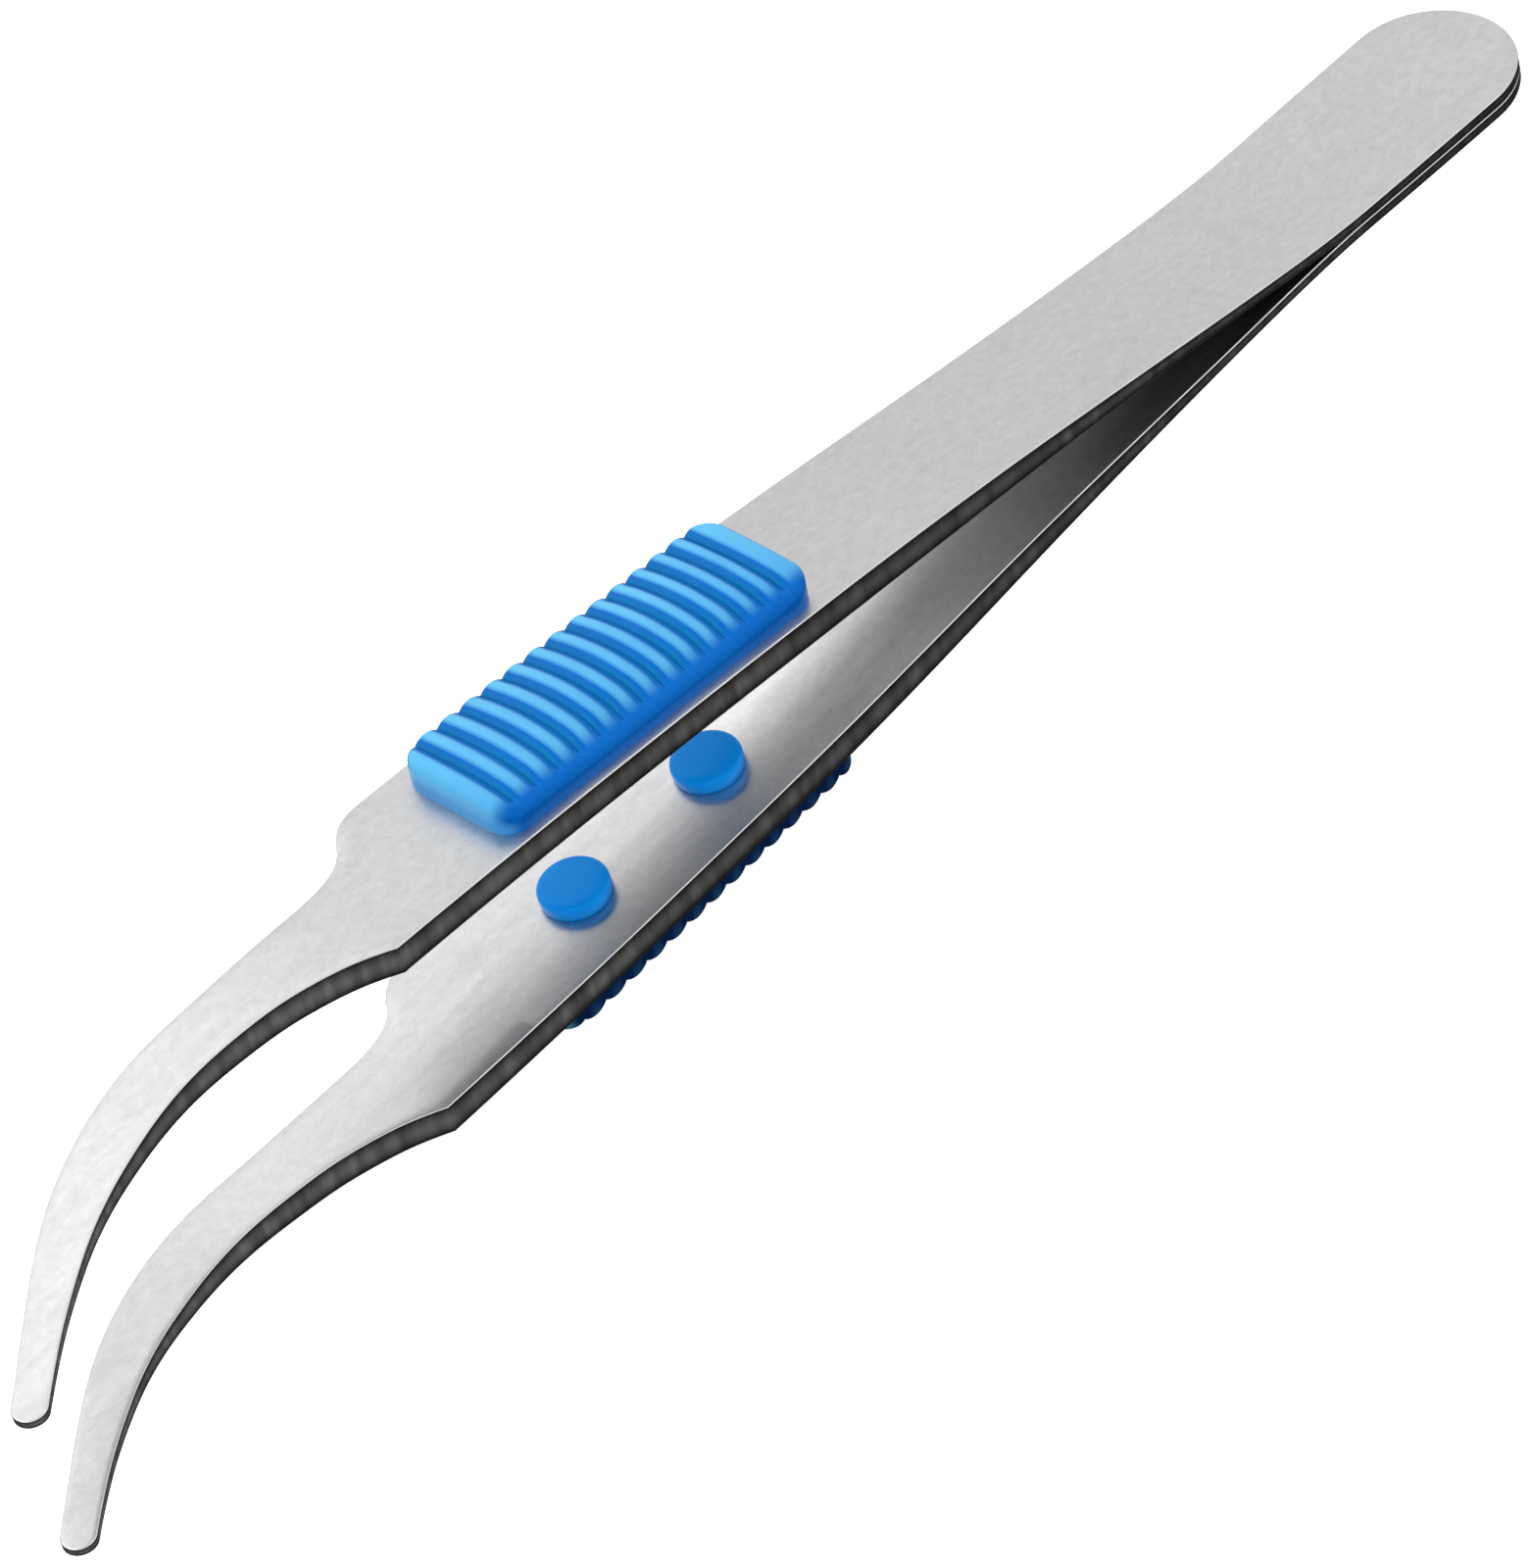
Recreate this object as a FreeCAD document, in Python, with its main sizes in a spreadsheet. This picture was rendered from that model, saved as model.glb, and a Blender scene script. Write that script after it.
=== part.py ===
import FreeCAD, Part
import math
import os

# Curved-tip precision tweezers: two tapered steel arms welded at the heel, each with a ribbed grip pad
# on its outer face, held by two rivets whose heads show on the inner face.
# Axes while building: X from the heel to the tips, Y to the side the tips curve to, Z out of the upper arm.
# Lengths in millimetres. The two arms are mirror images about the plane Z = 0.

doc = FreeCAD.newDocument("tweezers")
Vector = FreeCAD.Vector

# ---------------------------------------------------------------- sizes
SIZES = [
    # lengths along the tool
    ("shank_length", 92.0),        # heel end to the shoulder on the curve side
    ("jaw_length", 33.0),          # shoulder to the tip end
    ("weld_length", 16.0),         # length over which the two arms lie flat on each other
    ("flex_setback", 10.0),        # end of the welded length to the line the arm bends about
    # widths of the arms
    ("heel_width", 10.3),
    ("waist_width", 9.3),
    ("grip_width", 9.7),
    ("neck_width", 3.76),
    ("tip_width", 1.98),
    ("tip_reach", 10.3),           # sideways offset of the tip centre
    # thickness of the arms
    ("heel_thickness", 0.72),
    ("grip_thickness", 1.86),
    ("neck_thickness", 1.74),
    ("tip_thickness", 0.56),
    # distance of the inner face from the middle plane
    ("flex_opening", 0.68),
    ("waist_opening", 2.16),
    ("grip_opening", 4.22),
    ("neck_opening", 5.14),
    ("tip_opening", 4.62),
    # hinge line that stands for the bending of the arm
    ("flex_clearance", 0.03),
    # welds
    ("weld_diameter", 3.0),
    ("weld_depth", 0.25),
    ("weld_pitch", 6.4),
    # grip pads
    ("pad_length", 23.6),
    ("pad_width", 8.45),
    ("pad_height", 1.95),          # at the pad's two ends
    ("pad_dome", 0.5),             # more height in the pad's middle
    ("pad_corner", 1.6),
    ("pad_shoulder", 8.9),         # front end of the pad to the shoulder
    ("pad_edge", 0.4),             # softened edge round the top
    ("groove_count", 14),
    ("groove_width", 0.42),
    ("groove_depth", 0.42),
    ("groove_front", 1.37),        # front end of the pad to the first groove
    ("groove_rear", 1.8),          # last groove to the rear end of the pad
    ("groove_grading", 0.05),      # front spacing over the mean spacing, less one
    # rivets
    ("rivet_pitch", 10.6),
    ("rivet_offset", 0.55),        # middle of the pair ahead of the pad's middle
    ("head_diameter", 4.1),
    ("head_height", 0.95),
    ("head_edge", 0.25),
    ("pin_diameter", 2.4),
    ("pin_clearance", 0.05),
    ("pin_in_pad", 0.8),
]

sheet = doc.addObject("Spreadsheet::Sheet", "sizes")
for row, (name, value) in enumerate(SIZES, start=1):
    sheet.set("A%d" % row, name)
    sheet.set("B%d" % row, str(value))
    sheet.setAlias("B%d" % row, name)
doc.recompute()


def size(name):
    return float(sheet.get(name))


def bind(obj, prop, formula):
    obj.setExpression(prop, formula)


# ---------------------------------------------------------------- places that follow from the sizes
SHANK = size("shank_length")
JAW = size("jaw_length")
LENGTH = SHANK + JAW
WELD_END = size("weld_length")
FLEX_X = WELD_END + size("flex_setback")
PAD_FRONT = SHANK - size("pad_shoulder")
PAD_MID = PAD_FRONT - size("pad_length") / 2
PAD_REAR = PAD_FRONT - size("pad_length")
GRIP_MID = SHANK - 20.5
WAIST_X = (FLEX_X + GRIP_MID) / 2 - 4.05
NECK_X = SHANK + 0.32 * JAW
HALF_HEEL = size("heel_width") / 2
HALF_WAIST = size("waist_width") / 2
HALF_GRIP = size("grip_width") / 2
DEEP = 40.0


# ---------------------------------------------------------------- side profile of the upper arm
def spline(points, start=None, end=None):
    curve = Part.BSplineCurve()
    if start is None:
        curve.interpolate(points)
    else:
        curve.interpolate(points, InitialTangent=start, FinalTangent=end)
    return curve


def profile_stations():
    """Stations along the arm: place, inner face height, thickness."""
    heel = size("heel_thickness")
    grip = size("grip_thickness")
    neck = size("neck_thickness")
    tip = size("tip_thickness")
    return [
        (WELD_END, 0.0, heel),
        (FLEX_X, size("flex_opening"), heel),
        (WAIST_X, size("waist_opening"), heel + 0.68 * (grip - heel)),
        ((WAIST_X + GRIP_MID) / 2, 0.46 * size("waist_opening") + 0.54 * size("grip_opening"), grip),
        (GRIP_MID, size("grip_opening"), grip),
        (SHANK - 4.0, 0.15 * size("grip_opening") + 0.85 * size("neck_opening"), grip),
        (NECK_X, size("neck_opening"), neck),
        (SHANK + 0.66 * JAW, 0.58 * size("neck_opening") + 0.42 * size("tip_opening"), 0.37 * neck + 0.63 * tip),
        (LENGTH, size("tip_opening"), tip),
        (LENGTH + 6.0, size("tip_opening"), tip),
    ]


STATIONS = profile_stations()
INNER = spline([Vector(x, 0, z) for x, z, thick in STATIONS], Vector(1, 0, 0), Vector(1, 0, 0))
OUTER = spline([Vector(x, 0, z + thick) for x, z, thick in STATIONS], Vector(1, 0, 0), Vector(1, 0, 0))


def height_at(curve, place):
    """Height of a profile curve over the place X."""
    low, high = curve.FirstParameter, curve.LastParameter
    for step in range(60):
        middle = (low + high) / 2
        if curve.value(middle).x < place:
            low = middle
        else:
            high = middle
    return curve.value((low + high) / 2).z


def inner_z(place):
    return height_at(INNER, place) if place > WELD_END else 0.0


def outer_z(place):
    return height_at(OUTER, place) if place > WELD_END else size("heel_thickness")


def arm_profile():
    """Prism of the side profile, wider than the arm."""
    heel = size("heel_thickness")
    start = Vector(-5, 0, 0)
    top = Vector(-5, 0, heel)
    edges = [
        Part.LineSegment(start, INNER.value(INNER.FirstParameter)).toShape(),
        INNER.toShape(),
        Part.LineSegment(INNER.value(INNER.LastParameter), OUTER.value(OUTER.LastParameter)).toShape(),
        OUTER.toShape(),
        Part.LineSegment(OUTER.value(OUTER.FirstParameter), top).toShape(),
        Part.LineSegment(top, start).toShape(),
    ]
    face = Part.Face(Part.Wire(Part.__sortEdges__(edges)))
    face.translate(Vector(0, -DEEP / 2, 0))
    return face.extrude(Vector(0, DEEP, 0))


# ---------------------------------------------------------------- plan outline of an arm
TIP_AIM = math.radians(40.5)
TIP_ROUND = size("tip_width") / 2

# shares of the jaw length; sideways place of the jaw's middle as a share of the tip reach;
# how far the half width has gone from the neck's to the tip's; rest of the shoulder step on the curve side
JAW_FORM = [
    (0.06, 0.014, 0.00, 0.625),
    (0.12, 0.015, 0.00, 0.370),
    (0.19, 0.018, 0.00, 0.159),
    (0.27, 0.022, 0.00, 0.040),
    (0.37, 0.025, 0.00, 0.0),
    (0.46, 0.059, 0.00, 0.0),
    (0.54, 0.123, 0.03, 0.0),
    (0.61, 0.202, 0.14, 0.0),
    (0.69, 0.326, 0.30, 0.0),
    (0.76, 0.468, 0.50, 0.0),
    (0.83, 0.631, 0.76, 0.0),
    (0.90, 0.811, 0.94, 0.0),
]

# back of the shoulder: place before the shoulder, share of the step taken
NOTCH_FORM = [(6.8, 0.0), (5.3, 0.042), (4.0, 0.27), (2.8, 0.685), (1.3, 0.91)]


def jaw_edges():
    """Points of the curve side and of the back side of the jaw."""
    reach = size("tip_reach")
    neck_half = size("neck_width") / 2
    tip_half = TIP_ROUND / math.cos(TIP_AIM)
    step = HALF_GRIP - (JAW_FORM[0][1] * reach + neck_half)
    back_step = HALF_GRIP + JAW_FORM[0][1] * reach - neck_half
    curve_side = [Vector(SHANK, HALF_GRIP, 0)]
    back_side = []
    for before, share in NOTCH_FORM:
        back_side.append(Vector(SHANK - before, -HALF_GRIP + share * back_step, 0))
    for share, middle, taper, rest in JAW_FORM:
        place = SHANK + share * JAW
        half = neck_half + taper * (tip_half - neck_half)
        curve_side.append(Vector(place, middle * reach + half + rest * step, 0))
        back_side.append(Vector(place, middle * reach - half, 0))
    return curve_side, back_side


def plan_face():
    """Outline of an arm seen from above: round heel, waisted shank, stepped shoulder, curved jaw, round tip."""
    along = Vector(math.cos(TIP_AIM), math.sin(TIP_AIM), 0)
    across = Vector(-along.y, along.x, 0)
    tip_centre = Vector(LENGTH - TIP_ROUND, size("tip_reach"), 0)
    curve_end = tip_centre + across * TIP_ROUND
    back_end = tip_centre - across * TIP_ROUND
    nose = tip_centre + along * TIP_ROUND
    curve_side, back_side = jaw_edges()
    curve_side.append(curve_end)
    back_side.append(back_end)
    upper_rear = [
        Vector(HALF_HEEL, HALF_HEEL, 0),
        Vector(WAIST_X, HALF_WAIST, 0),
        Vector(PAD_REAR + 4.0, HALF_GRIP, 0),
    ]
    lower_rear = [Vector(p.x, -p.y, 0) for p in upper_rear]
    level = Vector(1, 0, 0)
    edges = [
        Part.Arc(upper_rear[0], Vector(0, 0, 0), lower_rear[0]).toShape(),
        spline(lower_rear, level, level).toShape(),
        Part.LineSegment(lower_rear[-1], back_side[0]).toShape(),
        spline(back_side).toShape(),
        Part.Arc(back_end, nose, curve_end).toShape(),
        spline(curve_side, Vector(0.86, -0.51, 0), along).toShape(),
        Part.LineSegment(curve_side[0], upper_rear[-1]).toShape(),
        spline(upper_rear, level, level).toShape(),
    ]
    return Part.Face(Part.Wire(Part.__sortEdges__(edges)))


PLAN_PRISM = plan_face().extrude(Vector(0, 0, DEEP))
BLANK = PLAN_PRISM.common(arm_profile())

# ---------------------------------------------------------------- split of each arm at its bending line
FLEX_LOW = inner_z(FLEX_X)
FLEX_HIGH = outer_z(FLEX_X)
FLEX_SLOPE = math.atan2(outer_z(FLEX_X + 0.5) - outer_z(FLEX_X - 0.5), 1.0)
FLEX_AXIS = Vector(FLEX_X, 0, (FLEX_LOW + FLEX_HIGH) / 2)
FLEX_RADIUS = (FLEX_HIGH - FLEX_LOW) / 2 * math.cos(FLEX_SLOPE)


def flex_cylinder(radius):
    return Part.makeCylinder(radius, DEEP, FLEX_AXIS - Vector(0, DEEP / 2, 0), Vector(0, 1, 0))


def flex_block(ahead=0.0):
    """Everything on the heel side of a plane across the arm, ahead of the bending line by the given length."""
    block = Part.makeBox(LENGTH, DEEP, DEEP, Vector(-LENGTH, -DEEP / 2, -DEEP / 2))
    block.rotate(Vector(0, 0, 0), Vector(0, 1, 0), -math.degrees(FLEX_SLOPE))
    block.translate(FLEX_AXIS + ahead * Vector(math.cos(FLEX_SLOPE), 0, math.sin(FLEX_SLOPE)))
    return block


def feature(label, shape):
    obj = doc.addObject("Part::Feature", label)
    obj.Shape = shape
    return obj


def cylinder(label, radius, height, base, axis):
    """Cylinder whose radius and height are formulas of the size sheet."""
    obj = doc.addObject("Part::Cylinder", label)
    bind(obj, "Radius", radius)
    bind(obj, "Height", height)
    obj.Placement = FreeCAD.Placement(base, FreeCAD.Rotation(Vector(0, 0, 1), axis))
    return obj


def group(label, shapes):
    obj = doc.addObject("Part::Compound", label)
    obj.Links = shapes
    return obj


def cut(label, base, tool):
    obj = doc.addObject("Part::Cut", label)
    obj.Base = base
    obj.Tool = tool
    return obj


def fuse(label, shapes):
    obj = doc.addObject("Part::MultiFuse", label)
    obj.Shapes = shapes
    return obj


def mirrored(label, source, normal=Vector(0, 0, 1)):
    obj = doc.addObject("Part::Mirroring", label)
    obj.Source = source
    obj.Base = Vector(0, 0, 0)
    obj.Normal = normal
    return obj


# ---------------------------------------------------------------- welded heel
WELD_MID = (HALF_HEEL + WELD_END) / 2
WELD_PLACES = [WELD_MID - size("weld_pitch") / 2 - 1.0, WELD_MID + size("weld_pitch") / 2 - 1.0]
UP = Vector(0, 0, 1)

welds = []
for number, place in enumerate(WELD_PLACES, start=1):
    foot = Vector(place, 0, -size("weld_depth"))
    welds.append(cylinder("weld_%d" % number, "sizes.weld_diameter / 2", "2 * sizes.weld_depth", foot, UP))
spot_welds = group("spot_welds", welds)

leaf_shape = BLANK.common(flex_block())
round_end = flex_cylinder(FLEX_RADIUS).common(PLAN_PRISM)
leaf_blank = feature("leaf_blank", leaf_shape.fuse(round_end).removeSplitter())
upper_leaf = cut("upper_spring_leaf", leaf_blank, spot_welds)
lower_leaf = mirrored("lower_spring_leaf", upper_leaf)

# ---------------------------------------------------------------- places on the grip
PAD_LOW = outer_z(PAD_REAR)
PAD_HIGH = outer_z(PAD_FRONT)
PAD_SLOPE = math.atan2(PAD_HIGH - PAD_LOW, size("pad_length"))
PAD_PLACE = FreeCAD.Placement(
    Vector(PAD_MID, 0, (PAD_LOW + PAD_HIGH) / 2),
    FreeCAD.Rotation(Vector(0, 1, 0), -math.degrees(PAD_SLOPE)),
)
NORMAL = PAD_PLACE.Rotation.multVec(UP)
RIVET_MID = PAD_MID + size("rivet_offset")
RIVET_PLACES = {
    "front": RIVET_MID + size("rivet_pitch") / 2,
    "rear": RIVET_MID - size("rivet_pitch") / 2,
}
BITE = 0.3                         # how far a rough head or pad reaches into the arm before it is trimmed

# ---------------------------------------------------------------- moving part of the arm
arm_shape = BLANK.cut(flex_block(size("flex_clearance"))).cut(flex_cylinder(FLEX_RADIUS + size("flex_clearance")))
arm_blank = feature("arm_blank", arm_shape)
holes = []
pins = []
heads = {}
pin_radius = "sizes.pin_diameter / 2"
for name, place in RIVET_PLACES.items():
    seat = Vector(place, 0, inner_z(place))
    below = seat - NORMAL * BITE
    through = "sizes.grip_thickness + sizes.pin_in_pad + %g" % BITE
    holes.append(cylinder(name + "_hole", pin_radius + " + sizes.pin_clearance", through, below, NORMAL))
    pin = cylinder(name + "_pin", pin_radius, through, below, NORMAL)
    pins.append(pin)
    head = Part.makeCylinder(size("head_diameter") / 2, size("head_height") + BITE,
                             seat - NORMAL * size("head_height"), NORMAL)
    rim = [edge for edge in head.Edges
           if edge.Curve.TypeId == "Part::GeomCircle" and (edge.Curve.Center - seat).dot(NORMAL) < 0]
    head = head.makeFillet(size("head_edge"), rim).cut(BLANK)
    heads[name] = fuse("upper_%s_rivet" % name, [feature(name + "_head", head), pin])
hole_group = group("rivet_holes", holes)
pin_group = group("rivet_pins", pins)
upper_arm = cut("upper_arm", arm_blank, hole_group)
lower_arm = mirrored("lower_arm", upper_arm)


# ---------------------------------------------------------------- grip pad
# Height of the pad across its width: share of the half width, share of the height at an end, share of the dome.
PAD_SECTION = [
    (-1.0, 0.82, 0.0), (-0.93, 0.975, 0.05), (-0.76, 0.99, 0.5), (-0.56, 1.0, 1.0), (0.48, 1.0, 1.0),
    (0.68, 0.955, 0.25), (0.9, 0.79, -0.5), (1.0, 0.52, -0.55),
]
# Places across which the pad's outline is set, as shares of the half length. It is level between the middle two.
PAD_STEPS = [-1.05, -0.8, -0.55, -0.3, 0.3, 0.55, 0.8, 1.05]


def pad_section(step):
    """Closed outline across the pad at a share of its half length."""
    half = size("pad_width") / 2
    place = step * size("pad_length") / 2
    level_end = PAD_STEPS[len(PAD_STEPS) // 2]
    fall = max(abs(step) - level_end, 0.0) / (1 - level_end)
    dome = size("pad_dome") * (1 - min(fall, 1.0) ** 2)
    top = [Vector(place, y * half, end * size("pad_height") + share * dome) for y, end, share in PAD_SECTION]
    foot = [Vector(place, y * half, -BITE) for y in (-1, 1)]
    level = Vector(0, 1, 0)
    near, far = Part.BSplineCurve(), Part.BSplineCurve()
    near.interpolate(top[4:-1], InitialTangent=level, FinalTangent=Vector(0, 0.65, -0.76))
    far.interpolate(top[1:4], InitialTangent=Vector(0, 0.9, 0.3), FinalTangent=level)
    corners = [top[-2], top[-1], foot[1], foot[0], top[0], top[1]]
    sides = [Part.LineSegment(a, b).toShape() for a, b in zip(corners, corners[1:])]
    flat = Part.LineSegment(top[3], top[4]).toShape()
    return Part.Wire([flat, near.toShape()] + sides + [far.toShape()])


def pad_ends():
    """Side view of the pad: upright ends with a softened top edge."""
    half = size("pad_length") / 2
    edge = size("pad_edge")
    low = size("pad_height") - edge
    high = size("pad_height") + 2 * size("pad_dome")
    points = [
        Vector(-half, 0, -BITE), Vector(-half, 0, low), Vector(-half + edge, 0, low + edge),
        Vector(-half + 6 * edge, 0, high), Vector(half - 6 * edge, 0, high),
        Vector(half - edge, 0, low + edge), Vector(half, 0, low), Vector(half, 0, -BITE),
    ]
    face = Part.Face(Part.makePolygon(points + [points[0]]))
    face.translate(Vector(0, -DEEP / 2, 0))
    return face.extrude(Vector(0, DEEP, 0))


def pad_plan():
    """Rounded rectangle of the pad."""
    length = size("pad_length")
    width = size("pad_width")
    block = Part.makeBox(length, width, DEEP, Vector(-length / 2, -width / 2, -DEEP / 2))
    corners = [edge for edge in block.Edges if abs(edge.tangentAt(edge.FirstParameter).z) > 0.5]
    return block.makeFillet(size("pad_corner"), corners)


def groove_places():
    """Places of the grooves, from the front: the spacing falls evenly towards the rear."""
    count = int(size("groove_count"))
    front = size("pad_length") / 2 - size("groove_front")
    rear = -size("pad_length") / 2 + size("groove_rear")
    mean = (front - rear) / (count - 1)
    places = []
    for number in range(count):
        lead = size("groove_grading") * number * (1 - number / (count - 1))
        places.append(front - mean * (number + lead))
    return places


def pad_shape():
    body = Part.makeLoft([pad_section(step) for step in PAD_STEPS], True, True)
    floor = body.copy()
    floor.translate(Vector(0, 0, -size("groove_depth")))
    width = size("groove_width")
    reach = 0.84 * size("pad_width") / 2       # grooves run out at one side and stop short of the other
    grooves = [Part.makeBox(width, reach + DEEP, DEEP, Vector(place - width / 2, -DEEP, 0)).cut(floor)
               for place in groove_places()]
    pad = body.common(pad_ends()).common(pad_plan()).cut(grooves)
    pad.Placement = PAD_PLACE
    return pad.cut(BLANK)


pad_blank = feature("pad_blank", pad_shape())
upper_pad = cut("upper_grip_pad", pad_blank, pin_group)
# The same moulding serves both arms: on the lower arm it is turned over about the long axis.
pad_other_hand = mirrored("pad_other_hand", upper_pad, Vector(0, 1, 0))
lower_pad = mirrored("lower_grip_pad", pad_other_hand)

# ---------------------------------------------------------------- pieces and export
NODES = {
    "spot_welds": spot_welds,
    "upper_spring_leaf": upper_leaf,
    "lower_spring_leaf": lower_leaf,
    "upper_arm": upper_arm,
    "lower_arm": lower_arm,
    "upper_grip_pad": upper_pad,
    "lower_grip_pad": lower_pad,
}
for name, rivet in heads.items():
    NODES["upper_%s_rivet" % name] = rivet
    NODES["lower_%s_rivet" % name] = mirrored("lower_%s_rivet" % name, rivet)
doc.recompute()

for obj in doc.Objects:
    if "Invalid" in obj.State or "Error" in obj.State:
        raise RuntimeError("object failed: " + obj.Label)

# The frame's origin is the middle of the underside of the whole tool's box.
whole = Part.makeCompound([obj.Shape for obj in NODES.values()]).optimalBoundingBox(False)
SHIFT = Vector(-(whole.XMin + whole.XMax) / 2, -(whole.YMin + whole.YMax) / 2, -whole.ZMin)

os.makedirs("parts", exist_ok=True)
for name, obj in NODES.items():
    obj.Label = name
    shape = obj.Shape
    if shape.isNull() or not shape.isValid():
        raise RuntimeError("bad shape: " + name)
    moved = shape.copy()
    moved.translate(SHIFT)
    moved.exportStep("parts/%s.step" % name)
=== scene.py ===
import math

import bmesh
import bpy
import numpy as np
from mathutils import Matrix, Vector


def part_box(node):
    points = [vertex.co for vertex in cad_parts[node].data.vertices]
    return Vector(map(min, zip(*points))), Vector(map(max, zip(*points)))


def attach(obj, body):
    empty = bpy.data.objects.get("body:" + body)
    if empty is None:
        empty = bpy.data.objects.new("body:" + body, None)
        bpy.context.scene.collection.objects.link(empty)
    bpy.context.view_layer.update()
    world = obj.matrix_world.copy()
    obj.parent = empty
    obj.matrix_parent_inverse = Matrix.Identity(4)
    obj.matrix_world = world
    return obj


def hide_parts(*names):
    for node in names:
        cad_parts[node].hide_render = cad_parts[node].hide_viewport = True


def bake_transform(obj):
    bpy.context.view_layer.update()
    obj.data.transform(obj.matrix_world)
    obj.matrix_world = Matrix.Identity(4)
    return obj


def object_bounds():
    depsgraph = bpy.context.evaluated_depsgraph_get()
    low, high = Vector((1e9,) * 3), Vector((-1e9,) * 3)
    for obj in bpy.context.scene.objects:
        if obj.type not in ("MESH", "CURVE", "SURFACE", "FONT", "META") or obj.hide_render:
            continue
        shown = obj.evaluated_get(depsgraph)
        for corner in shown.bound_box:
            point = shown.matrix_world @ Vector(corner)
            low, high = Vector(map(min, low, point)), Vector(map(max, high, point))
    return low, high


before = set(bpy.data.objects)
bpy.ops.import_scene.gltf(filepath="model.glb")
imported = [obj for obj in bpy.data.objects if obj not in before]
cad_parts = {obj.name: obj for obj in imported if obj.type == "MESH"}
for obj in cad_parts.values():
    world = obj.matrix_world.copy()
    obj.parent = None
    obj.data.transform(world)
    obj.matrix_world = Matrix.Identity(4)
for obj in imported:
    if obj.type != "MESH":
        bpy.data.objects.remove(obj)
CAD_LOW, CAD_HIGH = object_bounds()

MM = 0.001
LEAF_LOW, LEAF_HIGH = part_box("upper_spring_leaf")
# Tool frame in millimetres: X from the heel end, Y from the middle of the heel,
# Z from the plane between the arms.
ORIGIN = Vector((LEAF_LOW[0], (LEAF_LOW[1] + LEAF_HIGH[1]) / 2, LEAF_LOW[2]))


def place(x, y, z):
    return ORIGIN + Vector((x, y, z)) * MM


# ------------------------------------------------ sizes of the arms, as in the CAD model (mm)
SHANK, JAW = 92.0, 33.0
LENGTH = SHANK + JAW
HALF_HEEL, HALF_WAIST, HALF_GRIP = 5.15, 4.65, 4.85
WELD_END, FLEX_X, WAIST_X = 16.0, 26.0, 44.7
PAD_FRONT, PAD_REAR = 83.1, 59.5
STRAIGHT_FROM = PAD_REAR + 4.0
NECK_HALF, TIP_ROUND, TIP_REACH = 1.88, 0.99, 10.3
TIP_AIM = math.radians(40.5)
# Along the arm: place, height of the inner face, thickness.
STATIONS = [
    (16.0, 0.0, 0.72), (26.0, 0.68, 0.72), (44.7, 2.16, 1.495), (58.1, 3.272, 1.86),
    (71.5, 4.22, 1.86), (88.0, 5.002, 1.86), (102.56, 5.14, 1.74), (113.78, 4.922, 0.997),
    (125.0, 4.62, 0.56), (131.0, 4.62, 0.56),
]
# Along the jaw: share of its length, share of the tips' reach, taper towards the tip, rest of the shoulder.
JAW_FORM = [
    (0.06, 0.014, 0.00, 0.625), (0.12, 0.015, 0.00, 0.370), (0.19, 0.018, 0.00, 0.159),
    (0.27, 0.022, 0.00, 0.040), (0.37, 0.025, 0.00, 0.0), (0.46, 0.059, 0.00, 0.0),
    (0.54, 0.123, 0.03, 0.0), (0.61, 0.202, 0.14, 0.0), (0.69, 0.326, 0.30, 0.0),
    (0.76, 0.468, 0.50, 0.0), (0.83, 0.631, 0.76, 0.0), (0.90, 0.811, 0.94, 0.0),
]
# Step on the back side: distance behind the jaw's root, share of the step's depth.
NOTCH_FORM = [(6.8, 0.0), (5.3, 0.042), (4.0, 0.27), (2.8, 0.685), (1.3, 0.91)]


# ---------------------------------------------------------------- curves
def spline(points, count, start=None, end=None):
    """Smooth curve through the points, sampled evenly by chord length.

    An end is free unless a direction is given for it.
    """
    p = np.array(points, float)
    n = len(p)
    t = np.concatenate([[0.0], np.cumsum(np.linalg.norm(np.diff(p, axis=0), axis=1))])
    h = np.diff(t)
    a = np.zeros((n, n))
    b = np.zeros((n, p.shape[1]))
    for i in range(1, n - 1):
        a[i, i - 1], a[i, i], a[i, i + 1] = h[i], 2 * (h[i - 1] + h[i]), h[i - 1]
        b[i] = 3 * (h[i] * (p[i] - p[i - 1]) / h[i - 1] + h[i - 1] * (p[i + 1] - p[i]) / h[i])
    if start is None:
        a[0, 0], a[0, 1], b[0] = 2, 1, 3 * (p[1] - p[0]) / h[0]
    else:
        a[0, 0], b[0] = 1, np.array(start, float) / np.linalg.norm(start)
    if end is None:
        a[-1, -1], a[-1, -2], b[-1] = 2, 1, 3 * (p[-1] - p[-2]) / h[-1]
    else:
        a[-1, -1], b[-1] = 1, np.array(end, float) / np.linalg.norm(end)
    m = np.linalg.solve(a, b)
    s = np.linspace(0, t[-1], count)
    k = np.clip(np.searchsorted(t, s, side="right") - 1, 0, n - 2)
    u = ((s - t[k]) / h[k])[:, None]
    hk = h[k][:, None]
    return ((2 * u**3 - 3 * u**2 + 1) * p[k] + (u**3 - 2 * u**2 + u) * hk * m[k]
            + (-2 * u**3 + 3 * u**2) * p[k + 1] + (u**3 - u**2) * hk * m[k + 1])


def resample(line, count):
    """The polyline with its points spaced evenly."""
    d = np.concatenate([[0.0], np.cumsum(np.linalg.norm(np.diff(line, axis=0), axis=1))])
    s = np.linspace(0, d[-1], count)
    return np.stack([np.interp(s, d, line[:, i]) for i in range(line.shape[1])], axis=1)


def arc(centre, radius, a0, a1, count):
    a = np.radians(np.linspace(a0, a1, count))
    return np.stack([centre[0] + radius * np.cos(a), centre[1] + radius * np.sin(a)], axis=1)


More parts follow.
